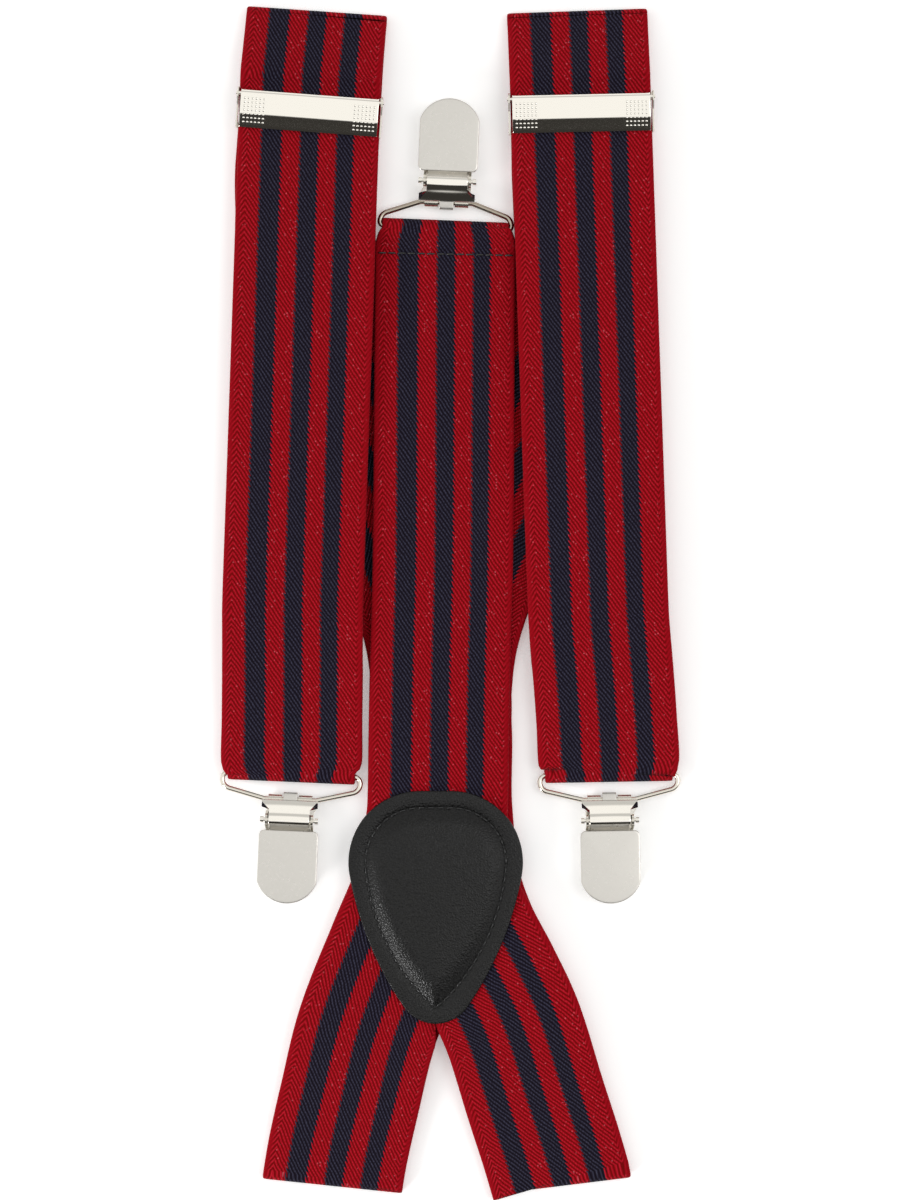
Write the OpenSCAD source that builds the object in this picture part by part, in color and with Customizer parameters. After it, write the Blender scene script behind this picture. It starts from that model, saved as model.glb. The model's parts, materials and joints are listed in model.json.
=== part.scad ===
// Y-back trouser suspenders: striped elastic webbing, a padded leather junction, two strap adjusters and
// three lever clips. The object lies flat and face up: +X across, +Y up the back strap, +Z out of the face.

/* [Webbing] */
// Width of the elastic webbing
web_w = 37.4; // [36:0.1:37.4]
// Thickness of the webbing
web_t = 1.3; // [1.1:0.05:1.3]
// Width of the webbing where it is gathered round a clip's wire
web_end_w = 32.4; // [28:0.1:32.4]
// Lean of each front strap, in degrees from straight up
front_lean = 1.98; // [1.9:0.01:2.05]

/* [Leather junction] */
// Radius of the junction's two upper lobes
lobe_r = 19; // [18.8:0.05:19.1]
// Distance of each lobe's centre from the middle
lobe_x = 4.2; // [4:0.05:4.3]
// Radius of the lower tip
tip_r = 10.25; // [10:0.05:10.4]
// Thickness of one leather
leather_t = 0.8; // [0.6:0.05:0.8]
// Height of the padded middle above the rim
puff_h = 2; // [1.2:0.1:2.4]

/* [Clips] */
// Thickness of the clips' pressed sheet
sheet_t = 0.6; // [0.5:0.05:0.6]
// Radius of the wire loop's wire
wire_r = 0.72; // [0.65:0.01:0.72]
// Half the width of the front jaw
jaw_half_w = 7.9; // [7.7:0.05:8]
// Distance from the clip's wire to the jaw's tip
jaw_end = 27.5; // [27.2:0.1:28]

/* [Adjusters] */
// Width between the frame's two ears
frame_inner_w = 37.9; // [37.8:0.05:38.3]
// Width of the cover plate
cover_w = 36.6; // [35:0.1:36.8]
// Length of the frame and its cover along the strap
frame_len = 10.6; // [10.4:0.1:10.8]

/* [Hidden] */

$fn = 48;
cut = 0.01;
play = 0.05;                       // running play in a hinge
half_t = web_t / 2;

// Heights of the webbing's middle plane
z_low = half_t;                    // lowest layer, on the table
z_mid = z_low + web_t + play;      // a layer on the lowest one
z_junction = 4.25;                 // the strap ends inside the leather junction
z_front = 5.4;                     // the front straps where the adjusters slide
z_wire = 2.1;                      // the clips' wires
loop_r = wire_r + 0.08 + half_t;   // middle of the webbing's loop round a wire
fold_r = 0.95;                     // middle of a flat fold

// Places on the table
front_x = [-41.7, 39.4];           // front straps' middle lines at y = 0
straight_top = 137;                // the front straps are straight from y = 0 to here
left_wire_at = [-42.1, -46.3];
right_wire_at = [42.4, -46.3];
back_wire_at = [-1.1, 99.2];
left_turn = -2.5;                  // how far each clip is turned from straight
right_turn = 1;
back_turn = -2.3;
adjuster_y = 129.5;
left_adjuster_turn = -4.3;
right_adjuster_turn = 1.2;

function front_at(side, y) = front_x[side] + (side == 0 ? 1 : -1) * tan(front_lean) * y;

// ---------------------------------------------------------------- webbing
// A station is [x, y, z, lean, pitch, width]: a place on the webbing's middle plane, the lean of the webbing
// on the table, and the direction that it heads in, as a turn about its own width from straight up the table.

// Catmull-Rom blend of four values at u from 0 to 1, and its slope
function blend4(a, b, c, d, u) =
    0.5 * (2 * b + (c - a) * u + (2 * a - 5 * b + 4 * c - d) * u * u + (3 * b - a - 3 * c + d) * u * u * u);
function slope4(a, b, c, d, u) =
    0.5 * ((c - a) + 2 * (2 * a - 5 * b + 4 * c - d) * u + 3 * (3 * b - a - 3 * c + d) * u * u);

function key(k, i) = k[max(0, min(len(k) - 1, i))];

function station(p, d) =
    let (e = atan2(d.z, norm([d.x, d.y])))
    [p.x, p.y, p.z, -atan(d.x / d.y), d.y > 0 ? e : 180 - e, p[3]];

// Stations on a smooth run through keys [x, y, z, width]
function run(k, steps = 3) = [
    for (i = [0 : len(k) - 2], s = [0 : steps - (i < len(k) - 2 ? 1 : 0)])
        let (u = s / steps)
        station(
            blend4(key(k, i - 1), key(k, i), key(k, i + 1), key(k, i + 2), u),
            slope4(key(k, i - 1), key(k, i), key(k, i + 1), key(k, i + 2), u)
        )
];

// Stations round a half turn of radius r, from one heading to another
function turn(at, z, r, lean, from, to, w, steps = 8) = [
    for (s = [1 : steps - 1])
        let (h = from + (to - from) * s / steps, g = to > from ? 1 : -1, out = r * sin(h) * g)
        [at.x - sin(lean) * out, at.y + cos(lean) * out, z - r * cos(h) * g, lean, h, w]
];

function corner(s, a, b) =
    let (across = [cos(s[3]), sin(s[3]), 0],
         up = [sin(s[3]) * sin(s[4]), -cos(s[3]) * sin(s[4]), cos(s[4])])
    [s.x, s.y, s.z] + across * a * s[5] / 2 + up * b * half_t;

module ribbon(stations) {
    n = len(stations);
    points = [for (s = stations) each [corner(s, -1, -1), corner(s, 1, -1), corner(s, 1, 1), corner(s, -1, 1)]];
    sides = [
        for (i = [0 : n - 2], k = [0 : 3])
            let (a = 4 * i + k, b = 4 * i + (k + 1) % 4)
            each [[a, a + 4, b], [b, a + 4, b + 4]]
    ];
    polyhedron(points, concat([[0, 1, 2, 3]], sides, [[4 * n - 1, 4 * n - 2, 4 * n - 3, 4 * n - 4]]), convexity = 8);
}

// Middle line of the hidden crossing, from beneath the back strap to beneath a front strap
cross_from = -25;
cross_to = 92;
function crossing(side, y) =
    let (r = (y - cross_from) / (cross_to - cross_from), a = -2.2)
    a + (front_at(side, cross_to) - a) * r * r * (3 - 2 * r);
cross_ys = [-25, -10, 5, 20, 35, 50, 65, 80, 92];

left_leg = [
    [-5.6, -74.8, z_junction], [-14.1, -93.9, z_junction], [-22, -114, 4.25], [-26.6, -132.6, 3.2],
    [-29.6, -145.9, 2.6], [-31.1, -154.5, 2.55]
];
left_under = [
    [-31.1, -154.5, z_low], [-29.6, -145.9, z_low], [-26.6, -132.6, z_low], [-22, -114, z_low],
    [-14.1, -93.9, z_low], [-6.6, -75, z_low], [-3.2, -55, z_low], [-2.4, -38, z_low]
];
left_rise = [[-38.4, 106, z_low], [-37.4, 125, z_low], [-36.4, 143, z_low], [-35.4, 155.5, z_low]];
left_fold_lean = -6;
left_top_lean = -4;
left_top = [
    [-35.4, 155.5, 2.55], [-35.9, 150, 3.4], [-36.45, 144, 4.75], [front_at(0, 139.5), 139.5, z_front]
];

right_leg = [
    [-2.6, -75.4, z_junction], [4.4, -88.6, z_junction], [11, -101, z_junction], [17, -114, 4.25],
    [22.8, -132.6, 3.3], [26.8, -145, 2.7], [29.6, -154.5, 2.55]
];
right_under = [
    [29.6, -154.5, z_low], [26.8, -145, 0.75], [22.8, -132.6, 1.3], [17, -114, z_mid],
    [11, -101, z_mid], [4.6, -88.6, z_mid], [0.2, -75, z_mid], [-2, -55, z_mid], [-2, -38, z_mid]
];
right_cross_z = [z_mid, z_mid, z_mid, z_mid, z_mid, 1.5, 0.75, z_low, z_low];
right_rise = [[35.6, 106, z_low], [35.1, 125, z_low], [34.6, 143, z_low], [34, 155.5, z_low]];
right_fold_lean = 7;
right_top_lean = 2;
right_top = [
    [34, 155.5, 2.55], [34.2, 150, 3.4], [34.4, 144, 4.75], [front_at(1, 139.5), 139.5, z_front]
];

function wide(k, w = web_w) = [for (p = k) [p.x, p.y, p.z, w]];
function backwards(k) = [for (i = [len(k) - 1 : -1 : 0]) k[i]];

// From the junction down the leg, under the fold, up beneath the back strap and across to the top fold
module strap_back(side, leg, under, cross_z, rise, fold_lean, top_lean) {
    cross = [for (i = [0 : len(cross_ys) - 1]) [crossing(side, cross_ys[i]), cross_ys[i], cross_z[i]]];
    foot = leg[len(leg) - 1];
    head = rise[len(rise) - 1];
    color("firebrick")
    intersection() {
        ribbon(concat(
            run(wide(leg)),
            turn(foot, (foot.z + z_low) / 2, fold_r, fold_lean, 180, 360, web_w),
            run(wide(concat(under, cross, rise))),
            turn(head, (2.55 + z_low) / 2, fold_r, top_lean, 0, 180, web_w)
        ));
        union() {
            translate([-far, -2 * far, -1]) cube([2 * far, 4 * far, 1 + z_mid + half_t + play]);
            translate([-far, far, -1]) cube([2 * far, far, 9]);
            translate([side == 0 ? -far : junction_at.x + play, -2 * far, -1])
                cube([side == 0 ? far + junction_at.x - play : far, 2 * far + leg_end, 9]);
        }
    }
}
far = 100;
leg_end = -72;

// From the top fold down the face to the loop round the clip's wire
module strap_front(side, top, wire_at, clip_turn, lower) {
    line = [for (y = [137, 125, 100, 75, 50, 25, 0]) [front_at(side, y), y, z_front]];
    z_end = z_wire + loop_r;
    color("firebrick")
    ribbon(concat(
        run(concat(
            wide(top), wide(line), wide(lower),
            [[wire_at.x, wire_at.y + 4.5, z_end, web_w], [wire_at.x, wire_at.y, z_end, web_end_w]]
        )),
        turn(wire_at, z_wire, loop_r, clip_turn, 180, 360, web_end_w)
    ));
}

bar_y = -3.7;                      // inner edge of the frame's lower bar
bar_z = 3.1;                       // middle height of that bar
bar_loop_r = 0.97;                  // middle of the webbing's loop round it
tail_hem = 12;                     // length sewn back on itself

// From the clip's wire up beneath the face to the adjuster's bar and round it
module strap_tail(side, wire_at, turned, lower) {
    c = [front_at(side, adjuster_y), adjuster_y];
    down = [sin(turned), -cos(turned)];
    bar = c - down * bar_y;
    z_hem = bar_z + bar_loop_r;
    z_run = bar_z - bar_loop_r;
    end = bar + down * 0.01;
    color("firebrick")
    ribbon(concat(
        run(concat(
            [[wire_at.x, wire_at.y, z_low, web_end_w], [wire_at.x, wire_at.y + 4.5, z_low, web_w]],
            wide(lower),
            wide([for (d = [14, 7, 0]) [(end + down * d).x, (end + down * d).y, z_run]])
        )),
        turn(bar, bar_z, bar_loop_r, turned, 0, 180, web_w),
        run(wide([for (d = [0, 5, tail_hem]) [(end + down * d).x, (end + down * d).y, z_hem]]))
    ));
}

back_keys = [
    [-3.6, -71, z_junction], [-3.4, -60, z_junction], [-3.1, -51, z_junction], [-3, -43, 3.6], [-2.9, -35, 3.4],
    [-2.5, -15, 3.4], [-1.9, 5, 3.4], [-1.6, 27, 3.4], [-1.5, 45, 3.4], [-1.4, 60, 2.85], [-1.3, 73, 2.12],
    [-1.2, 84, 2.05], [-1.15, 91, 2.05]
];
back_end_keys = [[3, 2.7, 34.6], [1.3, 3.45, web_end_w]];   // distance from the wire, height, width
back_hem = 7;                      // length sewn back on itself

module back_strap() {
    w = back_wire_at;
    z_end = z_wire + loop_r;
    color("firebrick")
    ribbon(concat(
        run(concat(
            wide(back_keys), [[w.x, w.y - 4.7, 2.08, 36]],
            [for (e = back_end_keys) [w.x, w.y - e[0], e[1], e[2]]], [[w.x, w.y, z_end, web_end_w]]
        )),
        turn(w, z_wire, loop_r, back_turn, 0, -180, web_end_w),
        run([
            [w.x, w.y, z_low, web_end_w], [w.x, w.y - 1.3, z_low, web_end_w], [w.x, w.y - 4.7, z_low, 36],
            [w.x, w.y - back_hem, z_low, web_w]
        ])
    ));
}

module back_strap_stitching() {
    n = 14;
    pitch = web_w / n;
    color("black")
    translate([back_wire_at.x, 91.4, 2.05 + half_t + 0.2]) rotate(back_turn / 2)
    for (i = [0 : n - 1])
        translate([(i - (n - 1) / 2) * pitch, 0, 0]) cube([pitch * 0.7, 0.4, 0.2], center = true);
}

// ---------------------------------------------------------------- leather junction
junction_at = [-3.7, -69.6];
tip_drop = 32.6;                   // from the lobes' centres down to the tip's centre
rim_z = z_junction + half_t + play;

side_r = 90;                       // radius of the leather's bowed sides
thread_side_r = 58;                // and of the sewn line inside it
thread_tip = [0, -36.9];           // the sewn line runs to a narrow tip
thread_tip_r = 1.4;
stitch_inset = 4.5;

// Centre of the right side's arc, which touches a lobe and the tip from outside them
function side_centre(r, tip, tip_r, big_r) =
    let (a = [lobe_x, 0], d = norm(tip - a), u = (tip - a) / d, p = big_r - r, q = big_r - tip_r,
         t = (p * p - q * q + d * d) / (2 * d), h = sqrt(p * p - t * t))
    a + u * t + [u.y, -u.x] * h;

function arc(c, r, from, to, n) = [for (i = [0 : n]) let (a = from + (to - from) * i / n) c + r * [cos(a), sin(a)]];
function heading(v) = atan2(v.y, v.x);
function mirrored(k) = [for (i = [len(k) - 1 : -1 : 0]) [-k[i].x, k[i].y]];

// Outline of a rounded teardrop, from its lowest point up the right side and over, anticlockwise
function teardrop(r, tip, tip_r, big_r, n = 12) =
    let (c = side_centre(r, tip, tip_r, big_r), low = heading(tip - c), high = heading([lobe_x, 0] - c),
         right = concat(
             arc(tip, tip_r, -90, low, 6),
             [for (i = [1 : n]) c + big_r * [cos(low + (high - low) * i / n), sin(low + (high - low) * i / n)]],
             [for (i = [1 : n]) [lobe_x, 0] + r * [cos(high + (90 - high) * i / n), sin(high + (90 - high) * i / n)]]
         ))
    concat(right, [for (p = mirrored(right)) if (p.x < -0.001) p]);

leather_line = teardrop(lobe_r, [0, -tip_drop], tip_r, side_r);

module outline() {
    polygon(leather_line);
}

module at_junction(z) {
    translate([junction_at.x, junction_at.y, z]) children();
}

// A low dome inside the sewn line, drawn in by inset at its foot
module dome(inset, h) {
    hull() {
        linear_extrude(0.01) polygon(teardrop(lobe_r - stitch_inset - inset, [0, -35.5], 1.9 - inset, 62, 8));
        translate([0, 0, h - 0.01]) linear_extrude(0.01)
            polygon(teardrop(lobe_r - stitch_inset - inset - 3, [0, -30], 1.9 - inset, 62, 8));
    }
}

module junction_cover() {
    color([0.1, 0.1, 0.1])
    at_junction(rim_z)
    difference() {
        union() {
            linear_extrude(leather_t) outline();
            dome(0.5, leather_t + puff_h);
        }
        translate([0, 0, -cut]) dome(1.3, puff_h);
    }
}

module junction_padding() {
    color("dimgray") at_junction(rim_z + cut) dome(1.4, puff_h - 0.1);
}

module junction_backing() {
    color([0.1, 0.1, 0.1])
    at_junction(z_junction - half_t - play - leather_t) linear_extrude(leather_t) outline();
}

module junction_stitching() {
    line = teardrop(lobe_r - stitch_inset, thread_tip, thread_tip_r, thread_side_r, 14);
    n = len(line);
    color("black")
    at_junction(rim_z + leather_t + 0.15)
    for (i = [0 : n - 1])
        let (p = line[i], q = line[(i + 1) % n])
        if (norm(q - p) > 1)
            translate([(p.x + q.x) / 2, (p.y + q.y) / 2, 0]) rotate(heading(q - p))
                cube([norm(q - p) * 0.72, 0.45, 0.3], center = true);
}

// ---------------------------------------------------------------- adjusters
ear_t = 0.36;
ear_x = frame_inner_w / 2;
pivot_y = 3.6;
pivot_z = 7.4;
adjuster_pin_r = 0.5;
barrel_r = 1.15;
bar_t = 0.5;

module at_adjuster(side, turned) {
    translate([front_at(side, adjuster_y), adjuster_y, 0]) rotate(turned) children();
}

// A profile drawn as [y, z] made into a bar across the part
module across(w) {
    rotate([90, 0, 90]) linear_extrude(w, center = true) children();
}

// Pressed frame: lower bar for the tail, upper bar under the teeth, and two ears that hold the pin
module adjuster_frame() {
    half = frame_len / 2;
    full = frame_inner_w + 2 * ear_t;
    color("silver") {
        translate([0, bar_y - 0.8, bar_z]) cube([full, 1.6, bar_t], center = true);
        translate([0, half - 1.1, z_front - half_t - play - 0.4]) cube([full, 2.2, 0.8], center = true);
        for (g = [-1, 1])
            translate([g * (ear_x + ear_t / 2), 0, 0])
            difference() {
                across(ear_t) polygon([
                    [-half, bar_z - bar_t / 2], [bar_y + 1.2, bar_z - bar_t / 2], [bar_y + 2, 3.8], [half, 3.8],
                    [half, pivot_z], [pivot_y + 1, pivot_z + 0.9],
                    [pivot_y - 1, pivot_z + 0.9], [pivot_y - 3, pivot_z - 0.9], [-half, z_front + half_t]
                ]);
                translate([-1, pivot_y, pivot_z]) rotate([0, 90, 0]) cylinder(h = 2, r = adjuster_pin_r);
            }
    }
}

module adjuster_pin() {
    color("silver")
    translate([-(ear_x + ear_t + 0.3), pivot_y, pivot_z]) rotate([0, 90, 0])
        cylinder(h = frame_inner_w + 2 * ear_t + 0.6, r = adjuster_pin_r);
}

// Cover plate, rolled round the pin, with the row of teeth that bites the webbing
module adjuster_cover() {
    half = frame_len / 2;
    tooth_n = 18;
    tooth_w = cover_w / tooth_n;
    tip_z = z_front + half_t + play;
    color("gainsboro")
    difference() {
        union() {
            across(cover_w) polygon([
                [pivot_y, pivot_z + barrel_r], [-1.8, 8.4], [-3.8, 7.9], [-half, 7.2],
                [-half, 6.6], [-4, 7.2], [-2, 7.7], [pivot_y - 1.3, 7.75], [pivot_y - 0.9, pivot_z]
            ]);
            translate([-cover_w / 2, pivot_y, pivot_z]) rotate([0, 90, 0]) cylinder(h = cover_w, r = barrel_r);
            for (i = [0 : tooth_n - 1])
                translate([(i - (tooth_n - 1) / 2) * tooth_w, 0, 0])
                    across(tooth_w * 0.6) polygon([
                        [pivot_y - 0.9, pivot_z - 0.4], [pivot_y + 0.4, pivot_z - 0.8], [pivot_y - 0.3, tip_z]
                    ]);
        }
        translate([-cover_w / 2 - 1, pivot_y, pivot_z]) rotate([0, 90, 0])
            cylinder(h = cover_w + 2, r = adjuster_pin_r + play);
    }
}

// ---------------------------------------------------------------- clips
// In a clip's own frame the jaw points along +Y from the wire at y = 0, and the table is z = 0.
wire_gap = 6.8;                    // from the wire's upper run, in the webbing, to its lower run
wire_straight = 16.5;              // half of the upper run
wire_bend_r = 1.9;
shoulder_bend_r = 2.6;
shoulder_turn = 76;                // how far the lower bend turns inwards
shoulder_x = 6.88;                 // where the lower run starts
clip_pin_y = 5.3;
clip_pin_z = 5.5;
clip_pin_r = 0.5;
cam_r = 1.85;
cam_low_r = 0.9;
lever_turn = 110;
ear_in = 5.75;
knuckle_in = 2.25;
knuckle_out = 5.85;
tail_half_w = 1.85;
jaw_start = 8.1;
jaw_z = 3.95;                      // underside of the front jaw's plate
tail_z = z_wire + wire_r + 0.1;    // underside of its tail, over the wire
ear_end = 8;

module at_clip(wire_at, turned) {
    translate([wire_at.x, wire_at.y, 0]) rotate(turned) translate([0, wire_gap, 0]) children();
}

// Wire loop: a closed trapezium with round corners. Each of its stations is [x, y, heading].
module clip_wire(straight = wire_straight, bend_r = wire_bend_r, low_turn = shoulder_turn) {
    top = -wire_gap;
    bend_y = top + bend_r;
    low = [straight + bend_r - shoulder_bend_r, bend_y];
    right = concat(
        [[straight, top, 0]],
        [for (a = [-72 : 18 : 0]) [straight + bend_r * cos(a), bend_y + bend_r * sin(a), a + 90]],
        [for (s = [1 : 4]) let (a = low_turn * s / 4)
            [low.x + shoulder_bend_r * cos(a), low.y + shoulder_bend_r * sin(a), a + 90]],
        [[shoulder_x, 0, (low_turn + 270) / 2]]
    );
    path = concat(right, [for (i = [len(right) - 1 : -1 : 0]) [-right[i].x, right[i].y, -right[i].z]]);
    n = len(path);
    k = 16;
    points = [
        for (p = path, j = [0 : k - 1])
            let (b = 360 * j / k, out = wire_r * cos(b))
            [p.x + out * sin(p.z), p.y - out * cos(p.z), z_wire + wire_r * sin(b)]
    ];
    sides = [
        for (i = [0 : n - 1], j = [0 : k - 1])
            let (a = i * k + j, b = i * k + (j + 1) % k, c = (i + 1) % n * k + j, d = (i + 1) % n * k + (j + 1) % k)
            each [[a, c, b], [b, c, d]]
    ];
    color("silver") polyhedron(points, sides, convexity = 8);
}

// Plan of a jaw: straight sides, a round end and small chamfers at its top corners
module jaw_plan(half_w, from, end, chamfer = 1) {
    end_len = 6.6;
    intersection() {
        translate([-half_w, from]) square([2 * half_w, end - from]);
        union() {
            polygon([
                [-half_w + chamfer, from], [half_w - chamfer, from], [half_w, from + chamfer],
                [half_w, end - end_len], [-half_w, end - end_len], [-half_w, from + chamfer]
            ]);
            translate([0, end - half_w * 1.06]) circle(half_w * 1.06);
        }
    }
}

// Rear jaw, ears and the two knuckles rolled round the wire, pressed from one sheet
module clip_body() {
    knuckle_r = wire_r + 0.04 + sheet_t;
    color("lightgray")
    difference() {
        union() {
            linear_extrude(sheet_t) jaw_plan(jaw_half_w - 0.2, ear_end + 0.6, jaw_end - 0.3);
            translate([-ear_in - sheet_t, 3, 0]) cube([2 * (ear_in + sheet_t), ear_end - 2, sheet_t]);
            for (g = [-1, 1]) {
                translate([g * (ear_in + sheet_t / 2), 0, 0]) {
                    across(sheet_t) polygon([
                        [3, 0], [ear_end, 0], [ear_end, 1], [7, clip_pin_z], [clip_pin_y - 1.7, clip_pin_z], [3, 3.4]
                    ]);
                    translate([-sheet_t / 2, clip_pin_y, clip_pin_z]) rotate([0, 90, 0])
                        cylinder(h = sheet_t, r = 1.7);
                }
                translate([g * (knuckle_in + knuckle_out) / 2, 0, 0]) {
                    across(knuckle_out - knuckle_in) polygon([
                        [0, z_wire - knuckle_r], [3.1, 0], [3.1, sheet_t], [0.6, z_wire - knuckle_r + 0.6]
                    ]);
                    translate([(knuckle_in - knuckle_out) / 2, 0, z_wire]) rotate([0, 90, 0])
                        cylinder(h = knuckle_out - knuckle_in, r = knuckle_r);
                }
            }
        }
        translate([-10, 0, z_wire]) rotate([0, 90, 0]) cylinder(h = 20, r = wire_r + 0.04);
        translate([-10, clip_pin_y, clip_pin_z]) rotate([0, 90, 0]) cylinder(h = 20, r = clip_pin_r);
    }
}

module clip_pin() {
    half = 7.7;
    color("silver")
    translate([-half, clip_pin_y, clip_pin_z]) rotate([0, 90, 0]) {
        cylinder(h = 2 * half, r = clip_pin_r);
        cylinder(h = 0.9, r = 0.8);
        translate([0, 0, 2 * half - 0.9]) cylinder(h = 0.9, r = 0.8);
    }
}

// The cam's radius falls evenly over the part of it that meets the front jaw as the lever lifts
function cam_at(a) = a < 0 ? cam_r : a < lever_turn ? cam_r - (cam_r - cam_low_r) * a / lever_turn :
    a < 150 ? cam_low_r + (cam_r - cam_low_r) * (a - lever_turn) / 40 : cam_r;

module clip_lever() {
    cam = [for (a = [-180 : 7.5 : 172.5]) [clip_pin_y, clip_pin_z] + cam_at(a) * [sin(a), -cos(a)]];
    flap = [[4.6, 7.2], [3.2, 6.6], [1.6, 5.2], [0.1, 4.6], [0.1, 3.9], [1.9, 4.4], [3.4, 5.4], [4.6, 5.6]];
    narrow = 10.9;
    finger_w = 14.9;
    color("gainsboro")
    difference() {
        union() {
            across(narrow) polygon(cam);
            across(narrow) polygon(flap);
            intersection() {
                across(finger_w) polygon(flap);
                translate([-10, 0, 0]) cube([20, 2.3, 9]);
            }
        }
        translate([-10, clip_pin_y, clip_pin_z]) rotate([0, 90, 0]) cylinder(h = 20, r = clip_pin_r + play);
    }
}

// Front jaw: the oval face plate, its neck between the ears, and a tail that hooks over the wire
module clip_front_jaw() {
    t = sheet_t;
    color("gainsboro") {
        translate([0, 0, jaw_z]) linear_extrude(t) jaw_plan(jaw_half_w, jaw_start, jaw_end);
        across(10.4) polygon([
            [4, tail_z], [7, tail_z], [8.6, jaw_z], [8.6, jaw_z + t], [8.2, jaw_z + t], [6.7, tail_z + t], [4, tail_z + t]
        ]);
        across(2 * tail_half_w) polygon([
            [4.5, tail_z], [-1.1, tail_z], [-1.4, tail_z - 0.3], [-1.4, z_wire - 0.5], [-2, z_wire - 0.5],
            [-2, tail_z + 0.1], [-1.5, tail_z + t], [4.5, tail_z + t]
        ]);
    }
}

pad_gap = 2.2;                     // height where the two pads meet

module clip_pad(from, to, rib_z) {
    ribs = 7;
    color("white") {
        translate([0, 0, from]) linear_extrude(to - from) jaw_plan(jaw_half_w - 1, 10, jaw_end - 1.2);
        for (i = [0 : ribs - 1])
            translate([0, 11.5 + i * 1.8, rib_z]) cube([11, 0.8, 0.4], center = true);
    }
}

module clip_rear_pad() {
    clip_pad(sheet_t, pad_gap - 0.35, pad_gap - 0.3);
}

module clip_front_pad() {
    clip_pad(pad_gap + 0.4, jaw_z, pad_gap + 0.35);
}

// ---------------------------------------------------------------- the named parts
module left_back() {
    strap_back(0, left_leg, left_under, [for (y = cross_ys) z_low], left_rise, left_fold_lean, left_top_lean);
}

module right_back() {
    strap_back(1, right_leg, right_under, right_cross_z, right_rise, right_fold_lean, right_top_lean);
}

left_lower = [[-41.75, -8, 5.3], [-41.8, -20, 4.7], [-41.95, -32, 3.8]];
right_lower = [[39.85, -8, 5.3], [40.9, -20, 4.7], [41.8, -32, 3.8]];
left_tail = [
    [-41.95, -32, 1], [-41.8, -20, 1.5], [-41.75, -8, 2.05], [front_at(0, 20), 20, 2.05],
    [front_at(0, 60), 60, 2.05], [front_at(0, 95), 95, 2.05]
];
right_tail = [
    [41.8, -32, 1.2], [40.9, -20, 2.4], [39.85, -8, 3.4], [front_at(1, 20), 20, 3.4], [front_at(1, 45), 45, 3.4],
    [front_at(1, 62), 62, 2.4], [front_at(1, 75), 75, 2.05], [front_at(1, 95), 95, 2.05]
];

module left_clip() { at_clip(left_wire_at, 180 + left_turn) children(); }
module right_clip() { at_clip(right_wire_at, 180 + right_turn) children(); }
module back_clip() { at_clip(back_wire_at, back_turn) children(); }
module left_adjuster() { at_adjuster(0, left_adjuster_turn) children(); }
module right_adjuster() { at_adjuster(1, right_adjuster_turn) children(); }

left_back();  // left_strap_back
strap_front(0, left_top, left_wire_at, left_turn, left_lower);  // left_strap_front
strap_tail(0, left_wire_at, left_adjuster_turn, left_tail);  // left_strap_tail
right_back();  // right_strap_back
strap_front(1, right_top, right_wire_at, right_turn, right_lower);  // right_strap_front
strap_tail(1, right_wire_at, right_adjuster_turn, right_tail);  // right_strap_tail
back_strap();
back_strap_stitching();
junction_cover();
junction_padding();
junction_backing();
junction_stitching();
left_adjuster() adjuster_frame();  // left_adjuster_frame
left_adjuster() adjuster_cover();  // left_adjuster_cover
left_adjuster() adjuster_pin();  // left_adjuster_pin
right_adjuster() adjuster_frame();  // right_adjuster_frame
right_adjuster() adjuster_cover();  // right_adjuster_cover
right_adjuster() adjuster_pin();  // right_adjuster_pin
left_clip() clip_wire();  // left_clip_wire
left_clip() clip_body();  // left_clip_body
left_clip() clip_pin();  // left_clip_pin
left_clip() clip_lever();  // left_clip_lever
left_clip() clip_front_jaw();  // left_clip_front_jaw
left_clip() clip_front_pad();  // left_clip_front_pad
left_clip() clip_rear_pad();  // left_clip_rear_pad
right_clip() clip_wire();  // right_clip_wire
right_clip() clip_body();  // right_clip_body
right_clip() clip_pin();  // right_clip_pin
right_clip() clip_lever();  // right_clip_lever
right_clip() clip_front_jaw();  // right_clip_front_jaw
right_clip() clip_front_pad();  // right_clip_front_pad
right_clip() clip_rear_pad();  // right_clip_rear_pad
back_clip() clip_wire(16.3, 1.2, 70.4);  // back_clip_wire
back_clip() clip_body();  // back_clip_body
back_clip() clip_pin();  // back_clip_pin
back_clip() clip_lever();  // back_clip_lever
back_clip() clip_front_jaw();  // back_clip_front_jaw
back_clip() clip_front_pad();  // back_clip_front_pad
back_clip() clip_rear_pad();  // back_clip_rear_pad
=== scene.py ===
"""Looks of a pair of Y-back trouser suspenders, laid face up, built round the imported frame.
Lengths in the sections are millimetres; meshes are made in metres."""
import json
import math

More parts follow.
